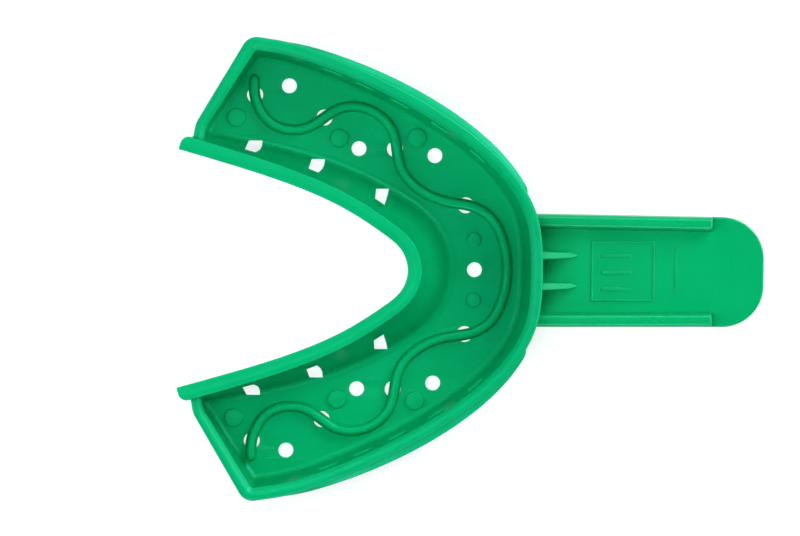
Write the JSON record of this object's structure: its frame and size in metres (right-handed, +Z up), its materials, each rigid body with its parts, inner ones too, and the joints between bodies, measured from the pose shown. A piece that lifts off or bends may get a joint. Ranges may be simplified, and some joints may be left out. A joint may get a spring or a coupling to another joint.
{
  "type": "impression tray",
  "caption": "Perforated dental stock tray for a full lower arch: horseshoe trough with rims, a wavy retention bead and a flat railed handle",
  "frame": {"origin": "on the plane the tray rests on, under the middle of its overall length and width", "axes": "+X out along the handle, +Y to the left when looking out along the handle with the trough facing up, +Z up out of the trough"},
  "size_m": [0.1012, 0.0798, 0.015],
  "materials": {
    "tray_plastic": "satin moulded green plastic",
    "handle_plastic": "satin moulded green plastic, smooth on the flat handle"
  },
  "bodies": {
    "root": {"tray_floor": "tray_plastic", "outer_wall": "tray_plastic", "end_wall_left": "tray_plastic", "end_wall_right": "tray_plastic", "outer_rim": "tray_plastic", "rim_skirt_left": "tray_plastic", "rim_skirt_right": "tray_plastic", "inner_wall": "tray_plastic", "inner_rim": "tray_plastic", "retention_rod": "tray_plastic", "pad_rear_left": "tray_plastic", "pad_middle_left": "tray_plastic", "pad_side_left": "tray_plastic", "pad_front_left": "tray_plastic", "pad_rear_right": "tray_plastic", "pad_middle_right": "tray_plastic", "pad_side_right": "tray_plastic", "pad_front_right": "tray_plastic", "handle_plate": "handle_plastic", "handle_grip": "handle_plastic", "handle_rail_left": "handle_plastic", "handle_rail_right": "handle_plastic", "handle_gusset_left": "handle_plastic", "handle_gusset_right": "handle_plastic", "handle_label_frame": "handle_plastic", "handle_label_bar_1": "handle_plastic", "handle_label_bar_2": "handle_plastic", "handle_label_bar_3": "handle_plastic", "handle_name_bar": "handle_plastic"}
  },
  "joints": []
}
